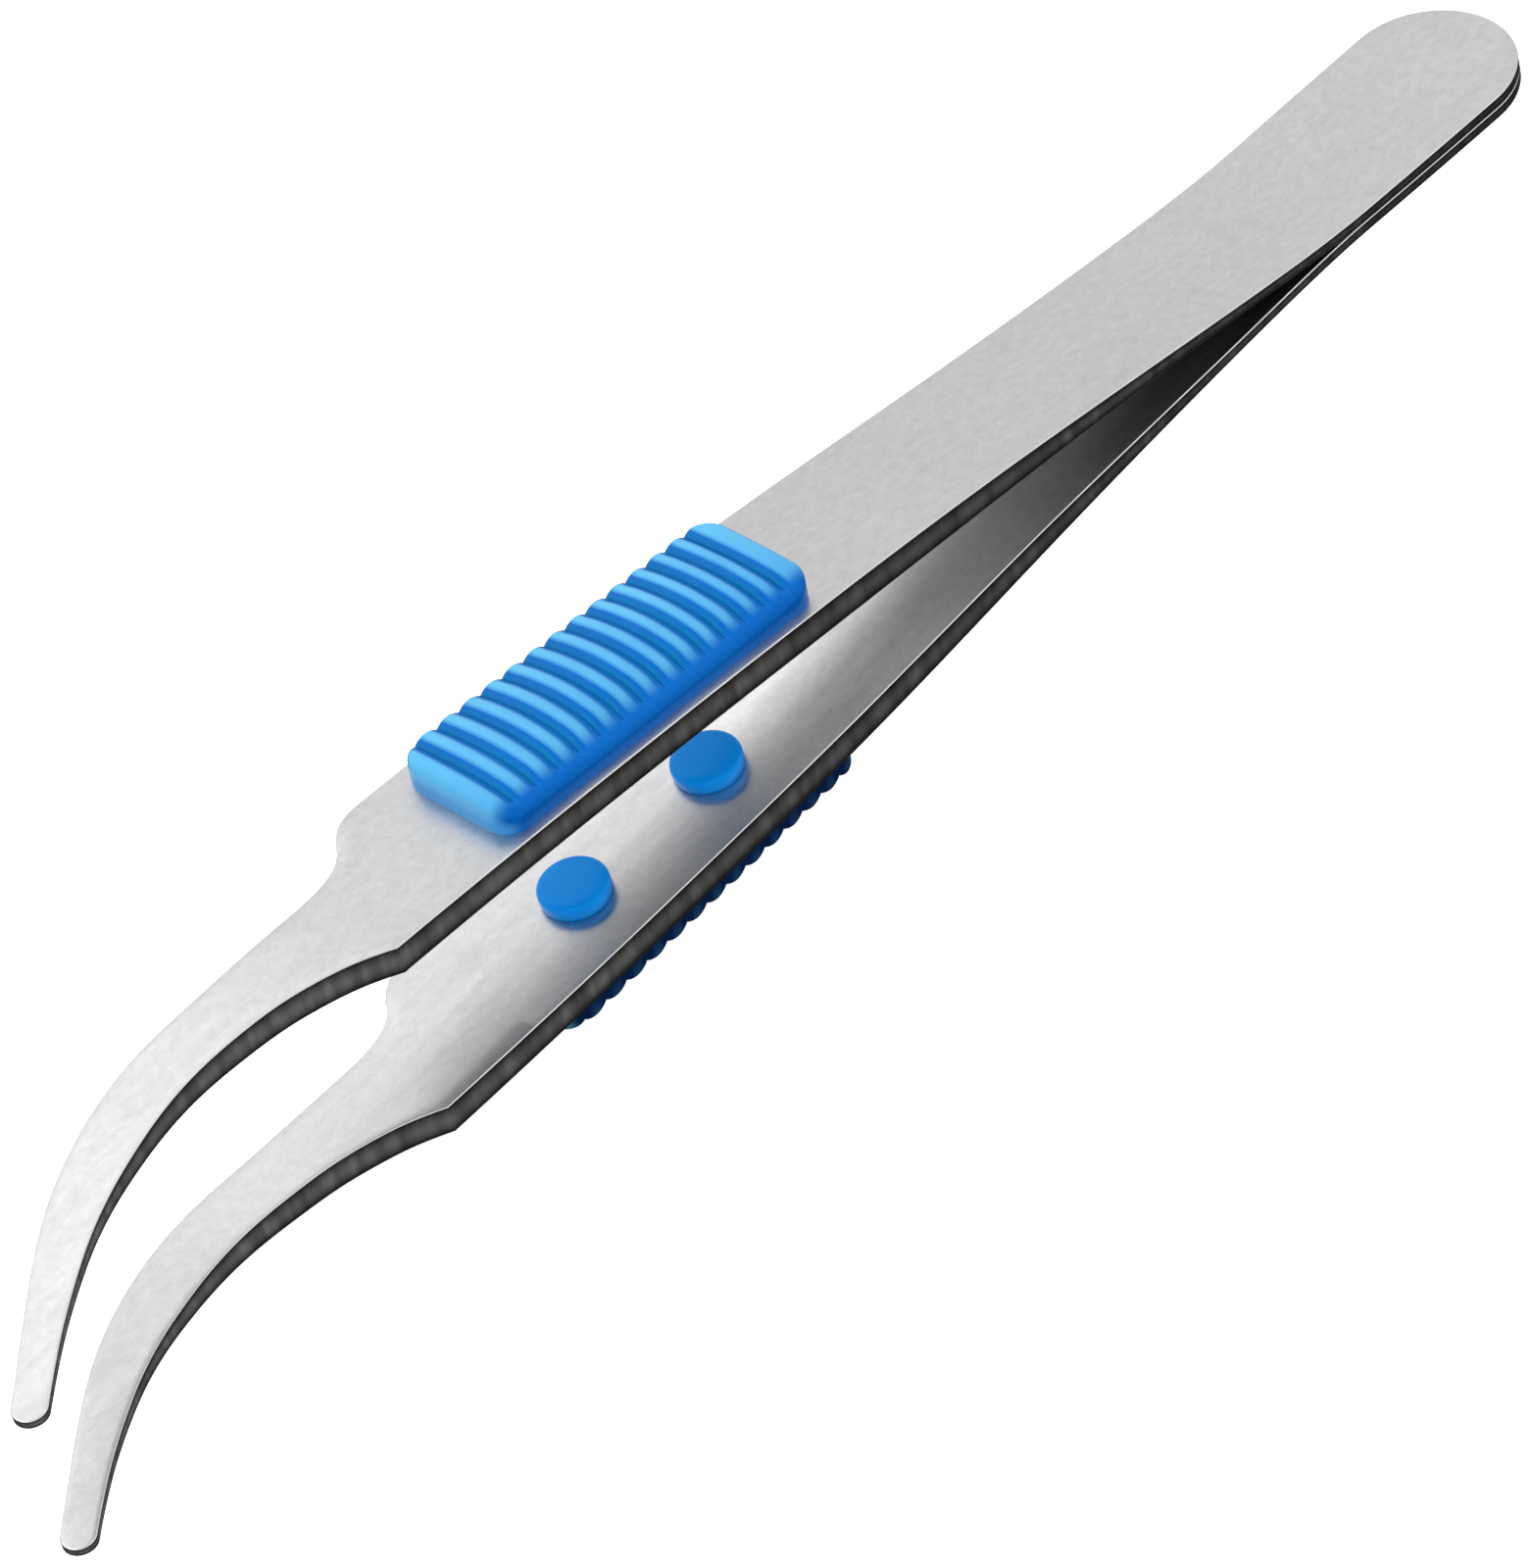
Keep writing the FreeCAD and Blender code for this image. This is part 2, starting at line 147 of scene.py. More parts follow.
INNER = spline([(x, z) for x, z, t in STATIONS], 1200, (1, 0), (1, 0))
OUTER = spline([(x, z + t) for x, z, t in STATIONS], 1200, (1, 0), (1, 0))


def inner_z(x):
    return np.interp(x, INNER[:, 0], INNER[:, 1])


def outer_z(x):
    return np.interp(x, OUTER[:, 0], OUTER[:, 1])


def outline():
    """Curve side and back side of an arm, point for point, from the heel's end to the tip's end."""
    reach, tip_half = TIP_REACH, TIP_ROUND / math.cos(TIP_AIM)
    step = HALF_GRIP - (JAW_FORM[0][1] * reach + NECK_HALF)
    back_step = HALF_GRIP + JAW_FORM[0][1] * reach - NECK_HALF
    curve_side = [(SHANK, HALF_GRIP)]
    back_side = [(SHANK - b, -HALF_GRIP + s * back_step) for b, s in NOTCH_FORM]
    for share, middle, taper, rest in JAW_FORM:
        half = NECK_HALF + taper * (tip_half - NECK_HALF)
        curve_side.append((SHANK + share * JAW, middle * reach + half + rest * step))
        back_side.append((SHANK + share * JAW, middle * reach - half))
    centre = np.array([LENGTH - TIP_ROUND, reach])
    across = np.array([-math.sin(TIP_AIM), math.cos(TIP_AIM)])
    along = (math.cos(TIP_AIM), math.sin(TIP_AIM))
    curve_side.append(tuple(centre + across * TIP_ROUND))
    back_side.append(tuple(centre - across * TIP_ROUND))
    aim = math.degrees(TIP_AIM)

    waist = [(HALF_HEEL, HALF_HEEL), (WAIST_X, HALF_WAIST), (STRAIGHT_FROM, HALF_GRIP)]
    rear = resample(spline(waist, 1000, (1, 0), (1, 0)), 90)
    shoulder_x = SHANK - NOTCH_FORM[0][0]
    straight = resample(np.array([[STRAIGHT_FROM, HALF_GRIP], [shoulder_x, HALF_GRIP]]), 26)
    corner = resample(np.array([[shoulder_x, HALF_GRIP], [SHANK, HALF_GRIP]]), 34)
    jaw = resample(spline(curve_side, 1500, (0.86, -0.51), along), 110)
    curve = [arc((HALF_HEEL, 0), HALF_HEEL, 180, 90, 30), rear, straight, corner, jaw,
             arc(centre, TIP_ROUND, aim + 90, aim, 14)]

    whole = spline(back_side, 3000)
    split = int(np.searchsorted(whole[:, 0], SHANK + 0.6))
    mirror = np.array([1, -1])
    back = [curve[0] * mirror, rear * mirror, straight * mirror, resample(whole[: split + 1], 34),
            resample(whole[split:], 110), arc(centre, TIP_ROUND, aim - 90, aim, 14)]

    def join(parts):
        return np.concatenate([parts[0]] + [part[1:] for part in parts[1:]])

    return join(curve), join(back)


# ---------------------------------------------------------------- mesh helpers
def new_object(name, verts, faces, materials, indices=None):
    mesh = bpy.data.meshes.new(name)
    mesh.from_pydata([tuple(v) for v in verts], [], faces)
    for material in materials:
        mesh.materials.append(material)
    if indices is not None:
        mesh.polygons.foreach_set("material_index", indices)
    mesh.polygons.foreach_set("use_smooth", [True] * len(mesh.polygons))
    mesh.validate()
    obj = bpy.data.objects.new(name, mesh)
    bpy.context.scene.collection.objects.link(obj)
    return obj


def attribute(obj, name, values):
    layer = obj.data.attributes.new(name, "FLOAT", "POINT")
    layer.data.foreach_set("value", [float(v) for v in values])


def outward(obj):
    """Normals point out of the closed mesh."""
    bm = bmesh.new()
    bm.from_mesh(obj.data)
    bmesh.ops.recalc_face_normals(bm, faces=bm.faces)
    bm.to_mesh(obj.data)
    bm.free()


BEVEL = 0.08
BEVEL_SHARE = 0.32  # of the thickness, where the steel is too thin for the full bevel
ACROSS = 8
# Painted light and shade along the arm, on the cut edge and on the inner face, from the heel end, in mm.
EDGE_PAINTED_LIGHT = ([0, 16, 45, 60, 85, 92, 125], [0.2, 0.3, 0.5, 0.55, 0.8, 1.0, 0.9])
INNER_PAINTED_LIGHT = ([0, 18, 30, 42, 54, 62, 70, 125], [0.3, 0.35, 0.6, 1.0, 1.35, 1.3, 1.0, 1.0])


def edge_painted_light(x):
    """Painted light on the middle of the cut edge: lighter where the steel is thick, painted shade towards
    the heel.
    """
    return float(np.interp(x, *EDGE_PAINTED_LIGHT))


def inner_painted_light(x):
    """Painted light on the inner face: painted shade towards the weld, brightest painted light just behind
    the rivets.
    """
    return float(np.interp(x, *INNER_PAINTED_LIGHT))


def arm_mesh(name, side, materials):
    """One arm from heel to tip: flat faces, rounded edges and side walls.

    side is 1 for the upper arm, -1 for the lower.
    """
    curve, back = outline()
    n = len(curve)
    loop = np.concatenate([curve, back[-2:0:-1]])
    count = len(loop)
    ahead = np.roll(loop, -1, axis=0) - loop
    ahead /= np.linalg.norm(ahead, axis=1)[:, None]
    tangent = ahead + np.roll(ahead, 1, axis=0)
    tangent /= np.linalg.norm(tangent, axis=1)[:, None]
    miter = 1.0 / np.clip((tangent * ahead).sum(axis=1), 0.7, 1.0)
    inward = np.stack([tangent[:, 1], -tangent[:, 0]], axis=1) * miter[:, None]
    bevel = np.minimum(BEVEL, BEVEL_SHARE * (outer_z(loop[:, 0]) - inner_z(loop[:, 0])))

    # Rings from the outer face over its rounded edge, down the side wall, to the inner face.
    angles = np.radians([90, 60, 30, 0])
    rings = [(bevel * (1 - math.cos(a)), bevel * (1 - math.sin(a)), 0.0) for a in angles]
    rings += [(0 * bevel, bevel, share) for share in (0.2, 0.4, 0.6, 0.8)]
    rings += [(bevel * (1 - math.cos(a)), bevel * (1 - math.sin(a)), 1.0) for a in angles[::-1]]
    verts, edge_light, inner_light = [], [], []
    for inset, drop, share in rings:
        p = loop + inward * inset[:, None]
        top, bottom = outer_z(p[:, 0]) - drop, inner_z(p[:, 0]) + drop
        z = top + (bottom - top) * share
        for (x, y), h in zip(p, z):
            verts.append(place(x, y, side * h))
            # Painted light across the cut edge: lighter in its middle, painted shade near black at its
            # borders.
            middle = 1.0 if 0.3 < share < 0.7 else 0.55 if 0.1 < share < 0.9 else 0.0
            edge_light.append(edge_painted_light(x) * middle)
            # The rings nearer the inner face take its painted shade and painted light.
            inner_light.append(inner_painted_light(x) if share > 0.5 else 1.0)
    faces, indices = [], []
    for r in range(len(rings) - 1):
        kind = 1 if 3 <= r <= 7 else 2
        for i in range(count):
            j = (i + 1) % count
            faces.append((r * count + i, r * count + j, (r + 1) * count + j, (r + 1) * count + i))
            indices.append(kind)
    for ring, outer in ((0, True), (len(rings) - 1, False)):
        base = ring * count
        rows = []
        for i in range(1, n - 1):
            a, b = verts[base + i], verts[base + count - i]
            row = [base + i]
            for k in range(1, ACROSS):
                p = a.lerp(b, k / ACROSS)
                x = (p.x - ORIGIN.x) / MM
                p.z = ORIGIN.z + side * MM * float(outer_z(x) if outer else inner_z(x))
                verts.append(p)
                edge_light.append(0.0)
                # Painted shade and light on the inner face only, none on the outer face.
                inner_light.append(1.0 if outer else inner_painted_light(x))
                row.append(len(verts) - 1)
            row.append(base + count - i)
            rows.append(row)
        for r0, r1 in zip(rows, rows[1:]):
            for k in range(ACROSS):
                faces.append((r0[k], r0[k + 1], r1[k + 1], r1[k]))
                indices.append(0)
        for end, row in ((base, rows[0]), (base + n - 1, rows[-1])):
            for k in range(ACROSS):
                faces.append((end, row[k], row[k + 1]))
                indices.append(0)
    obj = new_object(name, verts, faces, materials, indices)
    outward(obj)
    attribute(obj, "edge_painted_light", edge_light)
    attribute(obj, "inner_painted_light", inner_light)
    weight = obj.modifiers.new("face_weight", "WEIGHTED_NORMAL")
    weight.mode = "FACE_AREA"
    weight.weight = 60
    return obj


# ---------------------------------------------------------------- grip pad
PAD_LENGTH, PAD_WIDTH, PAD_HEIGHT, PAD_CORNER = PAD_FRONT - PAD_REAR, 8.45, 1.95, 1.6
PAD_MID = (PAD_FRONT + PAD_REAR) / 2
PAD_DOME, PAD_LEVEL = 0.5, 0.3  # rise of the dome, share of the half length over which it is level
PAD_EDGE, PAD_EDGE_FRONT = 0.4, 0.25  # radius of the top edge, and what the front end adds to it
PAD_LIP_REAR, PAD_LIP_FRONT = 0.9, 0.75  # ends of the pad where the mesh is finest
PAD_RIB = 1.6
PAD_WALL_LEVELS = (0.45, 0.1, -0.28)
# Across the pad: share of the half width, share of the height, share of the dome.
PAD_SECTION = np.array([
    (-1.02, 0.985, 0.0), (-0.93, 0.985, 0.05), (-0.72, 0.99, 0.36), (-0.45, 0.995, 0.72), (0.0, 1.0, 0.98),
    (0.4, 0.985, 0.76), (0.68, 0.955, 0.15), (0.9, 0.79, -0.5), (1.02, 0.64, -0.55),
])
SECTION = spline(PAD_SECTION, 400)
GROOVES, GROOVE_DEPTH = 14, 0.42
GROOVE_FRONT, GROOVE_REAR, GRADING = 1.37, 1.8, 0.05  # first and last groove from the ends, spacing change


def groove_places():
    front, rear = PAD_LENGTH / 2 - GROOVE_FRONT, -PAD_LENGTH / 2 + GROOVE_REAR
    mean = (front - rear) / (GROOVES - 1)
    return [front - mean * (k + GRADING * k * (1 - k / (GROOVES - 1))) for k in range(GROOVES)]


PLACES = sorted(groove_places())


def smooth_step(a, b, v):
    t = min(max((v - a) / (b - a), 0.0), 1.0)
    return t * t * (3 - 2 * t)


def pad_surface(x, y):
    """Height of the pad over its foot plane."""
    hx, hy = PAD_LENGTH / 2, PAD_WIDTH / 2
    qx, qy = abs(x) - (hx - PAD_CORNER), abs(y) - (hy - PAD_CORNER)
    outside = math.hypot(max(qx, 0), max(qy, 0)) + min(max(qx, qy), 0) - PAD_CORNER
    depth = max(-outside, 0.0)
    dome = PAD_DOME * (1 - min(max(abs(x) / hx - PAD_LEVEL, 0.0) / (1 - PAD_LEVEL), 1.0) ** 2)
    share, rise = (float(np.interp(y / hy, SECTION[:, 0], SECTION[:, i])) for i in (1, 2))
    body = PAD_HEIGHT * share + dome * rise
    edge = PAD_EDGE + PAD_EDGE_FRONT * smooth_step(hx - 1.6, hx - 0.5, x)
    if depth < edge:
        body -= edge * (1 - math.sqrt(max(1 - (1 - depth / edge) ** 2, 0.0)))
    near = min(abs(x - g) for g in PLACES)
    ridge = math.sin(math.pi * min(near / PAD_RIB, 0.5)) ** 0.7
    window = 1 - smooth_step(0.74, 0.92, y / hy)
    window *= smooth_step(0.15, 0.7, depth if y > 0 else 1.0)
    return body - GROOVE_DEPTH * (1 - ridge) * window


def pad_rib_painted_light(x, y):
    """Painted light on the pad: 1 in the bottom of a groove, 0 on the top of a rib, 0.5 on the plain sides.
    The rib tops take a painted highlight, lightest towards the -Y side.
    """
    near = min(abs(x - g) for g in PLACES)
    ribbed = 1 - smooth_step(0.66, 0.9, y / (PAD_WIDTH / 2))
    highlight_fade = 0.85 + 0.15 * smooth_step(0.5, -0.5, y / PAD_WIDTH)
    return 0.5 + ribbed * (0.5 - highlight_fade * smooth_step(0.05, 0.65, near))


SEAT_LOW, SEAT_HIGH = float(outer_z(PAD_REAR)), float(outer_z(PAD_FRONT))
PAD_TURN = Matrix.Rotation(-math.atan2(SEAT_HIGH - SEAT_LOW, PAD_LENGTH), 3, "Y")


def pad_mesh(name, side, material):
    """Ribbed pad. The same moulding is turned over about the long axis for the lower arm."""
    middle = Vector((PAD_MID, 0, (SEAT_LOW + SEAT_HIGH) / 2))
    hx, hy = PAD_LENGTH / 2, PAD_WIDTH / 2
    swing = 0.5 * (1 - np.cos(np.linspace(0, math.pi, 15)))
    lip = 1 - np.cos(np.linspace(0, math.pi / 2, 12))
    stops = [-hx + PAD_LIP_REAR] + PLACES + [hx - PAD_LIP_FRONT]
    xs = list(-hx + PAD_LIP_REAR * lip[:-1])
    for a, b in zip(stops, stops[1:]):
        xs += list(a + (b - a) * swing[:-1])
    xs += list((hx - PAD_LIP_FRONT * lip)[::-1])
    ramp = 0.2 * (1 - np.cos(np.linspace(0, math.pi / 2, 14)))[:-1]
    us = np.concatenate([-1 + ramp, np.linspace(-0.8, 0.8, 34), (1 - ramp)[::-1]])
    verts, faces, grid, flat, rib_painted_light, painted_wall_shade = [], [], [], {}, [], []

    def add(x, y, z):
        p = middle + PAD_TURN @ Vector((x, y, z))
        verts.append(place(p.x, side * p.y, side * p.z))
        # Painted shade on one long wall of the lower pad only.
        painted_wall_shade.append(smooth_step(-0.84, -0.97, y / hy) if side < 0 else 0.0)
        return len(verts) - 1

    for x in xs:
        inside = min(hx - abs(x), PAD_CORNER)
        half = hy - PAD_CORNER + math.sqrt(max(PAD_CORNER**2 - (PAD_CORNER - inside) ** 2, 0.0))
        row = []
        for u in us:
            v = add(x, u * half, pad_surface(x, u * half))
            flat[v] = (x, u * half)
            rib_painted_light.append(pad_rib_painted_light(x, u * half))
            row.append(v)
        grid.append(row)
    rows, cols = len(grid), len(grid[0])
    for i in range(rows - 1):
        for j in range(cols - 1):
            faces.append((grid[i][j], grid[i + 1][j], grid[i + 1][j + 1], grid[i][j + 1]))
    rim = ([grid[0][j] for j in range(cols)] + [grid[i][-1] for i in range(1, rows)]
           + [grid[-1][j] for j in range(cols - 2, -1, -1)] + [grid[i][0] for i in range(rows - 2, 0, -1)])
    previous = rim
    for level in PAD_WALL_LEVELS:
        ring = [add(*flat[v], level) for v in rim]
        # The walls are 0.5, less towards the front end, where they take a painted highlight.
        rib_painted_light += [0.5 - 0.2 * smooth_step(hx - 1.2, hx - 0.3, flat[v][0]) for v in rim]
        for a in range(len(rim)):
            b = (a + 1) % len(rim)
            faces.append((previous[a], previous[b], ring[b], ring[a]))
        previous = ring
    faces.append(tuple(previous))
    obj = new_object(name, verts, faces, [material])
    outward(obj)
    attribute(obj, "rib_painted_light", rib_painted_light)
    attribute(obj, "painted_wall_shade", painted_wall_shade)
    return obj


# ---------------------------------------------------------------- rivets
RIVET_RADIUS, RIVET_EDGE, RIVET_HEIGHT, RIVET_SIDES = 2.05, 0.3, 0.95, 72


def rivet_mesh(name, at, side, material):
    """Push rivet: head on the inner face, shank through the arm into the pad."""
    seat = Vector((at, 0, float(inner_z(at))))
    # Half section: radius and height over the inner face, from the shank's end to the head's middle.
    line = [(1.2, -2.5), (1.2, -0.02), (1.85, -0.02), (1.95, 0.0), (RIVET_RADIUS, 0.07)]
    for a in np.radians(np.linspace(0, 90, 8)):
        line.append((RIVET_RADIUS - RIVET_EDGE * (1 - math.cos(a)),
                     RIVET_HEIGHT - RIVET_EDGE * (1 - math.sin(a)) - 0.02))
    line += [(1.5, RIVET_HEIGHT - 0.008), (1.1, RIVET_HEIGHT - 0.002), (0.6, RIVET_HEIGHT)]
    count = RIVET_SIDES
    verts, faces = [], []
    for r, h in line:
        for k in range(count):
            a = 2 * math.pi * k / count
            p = seat + PAD_TURN @ Vector((r * math.cos(a), r * math.sin(a), -h))
            verts.append(place(p.x, p.y, side * p.z))
    for i in range(len(line) - 1):
        for k in range(count):
            n = (k + 1) % count
            faces.append((i * count + k, i * count + n, (i + 1) * count + n, (i + 1) * count + k))
    for h, ring in ((line[0][1], 0), (line[-1][1], len(line) - 1)):
        p = seat + PAD_TURN @ Vector((0, 0, -h))
        verts.append(place(p.x, p.y, side * p.z))
        for k in range(count):
            faces.append((ring * count + k, ring * count + (k + 1) % count, len(verts) - 1))
    obj = new_object(name, verts, faces, [material])
    outward(obj)
    return obj


# ---------------------------------------------------------------- materials
BUMP_DEPTH = 0.00002


class Nodes:
    """Small helper that builds a node tree."""

    def __init__(self, name):
        self.material = bpy.data.materials.new(name)
        self.material.use_nodes = True
        self.tree = self.material.node_tree
        self.shader = self.tree.nodes["Principled BSDF"]

    def add(self, kind, inputs=None, **settings):
        node = self.tree.nodes.new(kind)
        for key, value in settings.items():
            setattr(node, key, value)
        for key, value in (inputs or {}).items():
            self.put(node, key, value)
        return node

    def put(self, node, key, value):
        socket = node.inputs[key]
        if isinstance(value, bpy.types.NodeSocket):
            self.tree.links.new(value, socket)
        else:
            socket.default_value = value

    def set(self, **values):
        for key, value in values.items():
            self.put(self.shader, key.replace("_", " "), value)

    def noise(self, scale, stretch=(1, 1, 1), detail=3.0, rough=0.5):
        coord = self.add("ShaderNodeTexCoord")
        mapping = self.add("ShaderNodeMapping", {"Vector": coord.outputs["Object"], "Scale": stretch})
        return self.add("ShaderNodeTexNoise", {"Vector": mapping.outputs[0], "Scale": scale,
                                               "Detail": detail, "Roughness": rough}).outputs["Fac"]

    def ramp(self, value, stops):
        node = self.add("ShaderNodeValToRGB", {"Fac": value})
        points = node.color_ramp.elements
        while len(points) < len(stops):
            points.new(0.5)
        for point, (at, colour) in zip(points, stops):
            point.position = at
            point.color = (*colour, 1)
        return node.outputs["Color"]

    def remap(self, value, low, high):
        return self.add("ShaderNodeMapRange", {"Value": value, "From Min": 0.25, "From Max": 0.75,
                                               "To Min": low, "To Max": high}).outputs["Result"]

    def bump(self, height, strength):
        return self.add("ShaderNodeBump", {"Height": height, "Strength": strength,
                                           "Distance": BUMP_DEPTH}).outputs["Normal"]

    def attribute(self, name):
        return self.add("ShaderNodeAttribute", attribute_name=name).outputs["Fac"]

    def product(self, a, b):
        return self.add("ShaderNodeMath", {0: a, 1: b}, operation="MULTIPLY").outputs[0]

    def tint(self, factor, a, b):
        """Colour a, multiplied by colour b as far as the factor says."""
        return self.add("ShaderNodeMix", {0: factor, 6: a, 7: b}, data_type="RGBA",
                        blend_type="MULTIPLY").outputs[2]


def steel_face():
    m = Nodes("satin_steel")
    grain = m.noise(900, (0.12, 1, 1), 4, 0.6)
    cloud = m.noise(70, (0.6, 1, 1), 4, 0.6)
    # Painted shade on the inner face towards the weld, painted light behind the rivets.
    inner_light = m.attribute("inner_painted_light")
    base = m.ramp(cloud, [(0.3, (0.54, 0.54, 0.545)), (0.7, (0.59, 0.59, 0.59))])
    mottle = m.remap(m.noise(2200, (0.6, 1, 1), 4, 0.8), 0.88, 1.12)
    shade = m.tint(1.0, base, m.product(inner_light, mottle))
    m.set(Base_Color=shade, Metallic=1.0, Roughness=m.remap(grain, 0.30, 0.42))
    m.set(Normal=m.bump(grain, 0.25))
    return m.material


def steel_edge():
    m = Nodes("edge_steel")
    grain = m.noise(1400, (1, 1, 0.15), 4, 0.6)
    edge_light = m.attribute("edge_painted_light")
    uneven = m.product(edge_light, m.remap(grain, 0.75, 1.2))
    # These greys paint light and shade on the edge: near black at its borders and towards the heel, lighter
    # in its middle.
    greys = [(0.0, (0.03, 0.03, 0.03)), (0.5, (0.52, 0.51, 0.50)), (1.0, (0.92, 0.91, 0.90))]
    m.set(Base_Color=m.ramp(uneven, greys), Metallic=1.0, Roughness=m.remap(grain, 0.32, 0.5))
    m.set(Normal=m.bump(grain, 0.3))
    return m.material


def steel_bevel():
    m = Nodes("bevel_steel")
    grain = m.noise(1200, (0.2, 1, 1), 3, 0.5)
    greys = [(0.3, (0.60, 0.60, 0.60)), (0.7, (0.72, 0.72, 0.72))]
    m.set(Base_Color=m.ramp(grain, greys), Metallic=1.0, Roughness=m.remap(grain, 0.22, 0.34))
    return m.material


# Colour of the painted shade on the lower pad's wall.
WALL_SHADE_COLOUR = (0.10, 0.13, 0.20, 1)


def blue_plastic(name, colour, deep, crest_highlight, plain, groove):
    """Moulded plastic, cloudy between two blues. Painted light: rib tops painted lighter as a highlight,
    grooves and plain sides painted darker, and painted shade on a wall where it is marked.
    """
    m = Nodes(name)
    cloud = m.noise(160, (1, 1, 1), 3, 0.5)
    fine = m.noise(2600, (1, 1, 1), 3, 0.6)
    base = m.ramp(cloud, [(0.3, deep), (0.7, colour)])
    # Painted highlight on the rib tops, painted shade in the grooves.
    depth = m.ramp(m.attribute("rib_painted_light"), [(0.0, crest_highlight), (0.5, plain), (1.0, groove)])
    before_wall_shade = m.tint(1.0, base, depth)
    # Painted shade on the lower pad's wall is multiplied in where its attribute says.
    m.set(Base_Color=m.tint(m.attribute("painted_wall_shade"), before_wall_shade, WALL_SHADE_COLOUR), Roughness=m.remap(fine, 0.20, 0.28))
    m.set(Specular_IOR_Level=0.25, Specular_Tint=(0.15, 0.60, 1.0, 1))
    m.set(Normal=m.bump(fine, 0.12))
    return m.material


STEEL, EDGE, BEVELLED = steel_face(), steel_edge(), steel_bevel()
WHITE = (1, 1, 1)
# The crest tint of white leaves the rib tops at the full blue as a painted highlight.
PAD_BLUE = blue_plastic("pad_blue", (0.140, 0.540, 0.840), (0.100, 0.460, 0.780),
                        crest_highlight=WHITE, plain=(0.012, 0.25, 0.64), groove=(0.030, 0.34, 0.56))
RIVET_BLUE = blue_plastic("rivet_blue", (0.003, 0.320, 0.960), (0.002, 0.280, 0.900),
                          crest_highlight=WHITE, plain=WHITE, groove=WHITE)

# ---------------------------------------------------------------- pieces
RIVETS = {"front": 77.15, "rear": 66.55}
for side, word in ((1, "upper"), (-1, "lower")):
    arm = arm_mesh(word + "_steel_arm", side, [STEEL, EDGE, BEVELLED])
    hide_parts(word + "_spring_leaf", word + "_arm")
    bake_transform(arm)
    pad = pad_mesh(word + "_ribbed_pad", side, PAD_BLUE)
    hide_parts(word + "_grip_pad")
    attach(pad, word + "_arm")
    for which in ("front", "rear"):
        rivet = rivet_mesh("%s_%s_stud" % (word, which), RIVETS[which], side, RIVET_BLUE)
        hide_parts("%s_%s_rivet" % (word, which))
        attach(rivet, word + "_arm")
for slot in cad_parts["spot_welds"].material_slots:
    slot.material = STEEL

# ---------------------------------------------------------------- floor, light, camera
floor_mesh = bpy.data.meshes.new("floor")
bm = bmesh.new()
bmesh.ops.create_grid(bm, x_segments=1, y_segments=1, size=4.0)
bm.to_mesh(floor_mesh)
bm.free()
floor = bpy.data.objects.new("floor", floor_mesh)
floor.location.z = CAD_LOW.z
bpy.context.scene.collection.objects.link(floor)
m = Nodes("pale_floor")
m.set(Base_Color=(0.95, 0.95, 0.95, 1), Roughness=0.9, Specular_IOR_Level=0.1)
m.set(Emission_Color=(1, 1, 1, 1), Emission_Strength=0.8)
floor_mesh.materials.append(m.material)
# The floor shows to the camera only, and throws no light on the steel.
floor.visible_diffuse = False
floor.visible_glossy = False


def light(name, aim, offset, width, height, power):
    """Soft rectangular light at an offset from the point it is aimed at (metres, watts)."""
    data = bpy.data.lights.new(name, "AREA")
    data.shape = "RECTANGLE"
    data.size, data.size_y = width, height
    data.energy = power
    obj = bpy.data.objects.new(name, data)
    obj.location = aim + Vector(offset)
    obj.rotation_mode = "QUATERNION"
    obj.rotation_quaternion = (aim - obj.location).to_track_quat("-Z", "Y")
    bpy.context.scene.collection.objects.link(obj)


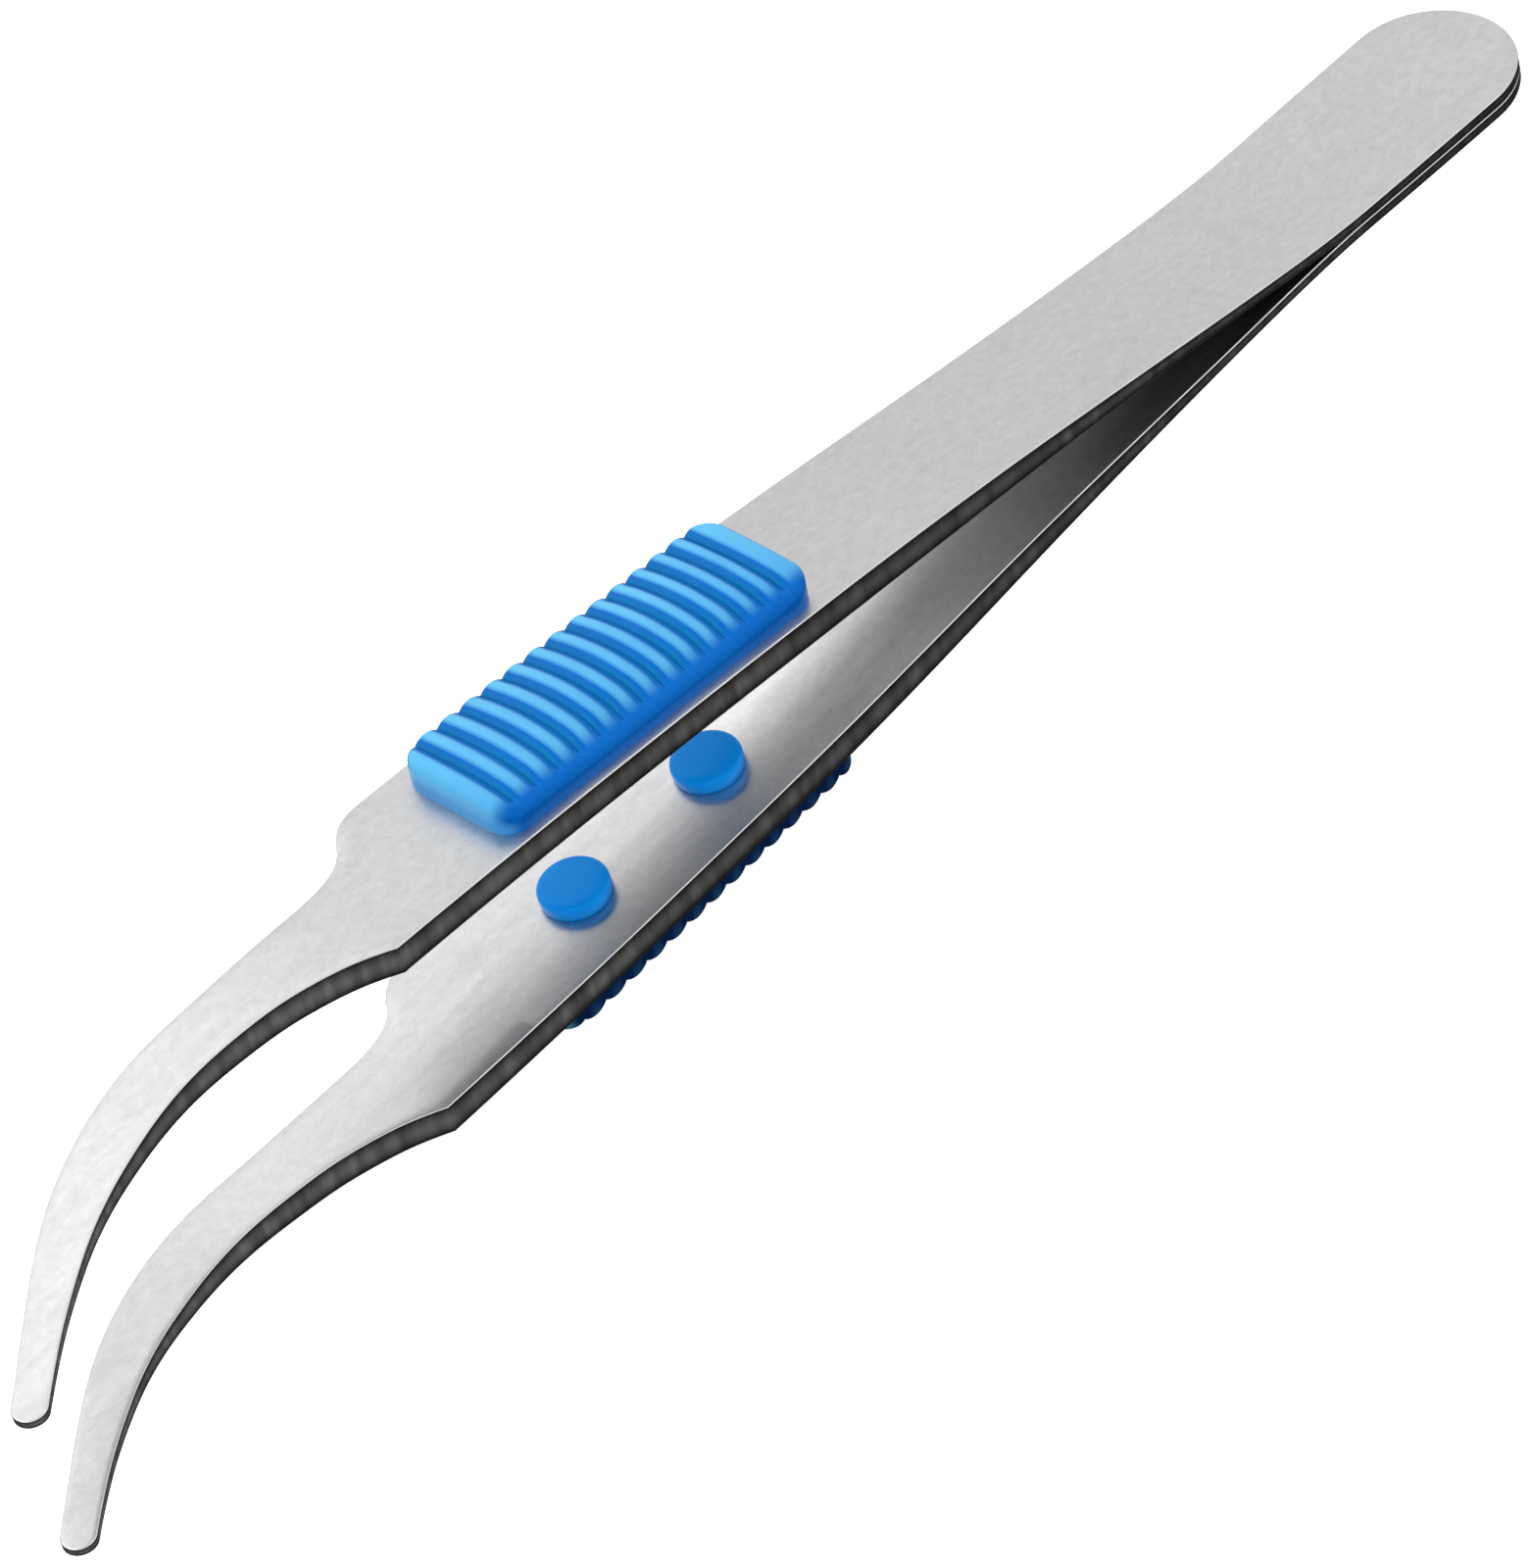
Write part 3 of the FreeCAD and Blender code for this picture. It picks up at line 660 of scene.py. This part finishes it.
MIDDLE = (CAD_LOW + CAD_HIGH) / 2
light("key", MIDDLE, (0.0, -0.60, 0.80), 0.75, 0.60, 1.25)
light("strip", MIDDLE, (0.55, -0.62, 0.60), 0.20, 0.45, 0.3)
light("rim", MIDDLE, (-0.43, 0.60, 0.80), 0.6, 0.6, 0.7)
light("fill", MIDDLE, (0.85, 0.0, 0.70), 0.8, 0.8, 2.4)

# Even light from above and from the sides, almost none from below the horizon.
HORIZON_LOW, HORIZON_HIGH = -0.12, -0.06
world = bpy.data.worlds.new("studio")
bpy.context.scene.world = world
world.use_nodes = True
tree = world.node_tree
background = tree.nodes["Background"]
coord = tree.nodes.new("ShaderNodeTexCoord")
split = tree.nodes.new("ShaderNodeSeparateXYZ")
ramp = tree.nodes.new("ShaderNodeValToRGB")
tree.links.new(coord.outputs["Generated"], split.inputs[0])
height = tree.nodes.new("ShaderNodeMapRange")
height.inputs["From Min"].default_value = HORIZON_LOW
height.inputs["From Max"].default_value = HORIZON_HIGH
tree.links.new(split.outputs["Z"], height.inputs["Value"])
tree.links.new(height.outputs["Result"], ramp.inputs["Fac"])
tree.links.new(ramp.outputs["Color"], background.inputs["Color"])
ramp.color_ramp.elements[0].color = (0.05, 0.05, 0.05, 1)
ramp.color_ramp.elements[1].color = (1, 1, 1, 1)
background.inputs["Strength"].default_value = 0.95
bpy.context.scene.view_settings.view_transform = "Standard"

camera_data = bpy.data.cameras.new("camera")
camera = bpy.data.objects.new("camera", camera_data)
bpy.context.scene.collection.objects.link(camera)
bpy.context.scene.camera = camera
AZIMUTH, ELEVATION, ROLL = (math.radians(a) for a in (143.98, 42.99, -14.94))
CAMERA_AT = (254.45, 263.03, 295.145)
SENSOR, LENS = 36.0, 187.056
back = Vector((math.sin(AZIMUTH) * math.cos(ELEVATION), -math.cos(AZIMUTH) * math.cos(ELEVATION),
               math.sin(ELEVATION)))
right = Vector((0, 0, 1)).cross(back).normalized()
up = back.cross(right)
right, up = (math.cos(ROLL) * right + math.sin(ROLL) * up,
             -math.sin(ROLL) * right + math.cos(ROLL) * up)
turn = Matrix((right, up, back)).transposed().to_4x4()
camera.matrix_world = Matrix.Translation(place(*CAMERA_AT)) @ turn
camera_data.sensor_fit = "AUTO"
camera_data.sensor_width = SENSOR
camera_data.lens = LENS
camera_data.clip_start = 0.01
camera_data.clip_end = 20.0
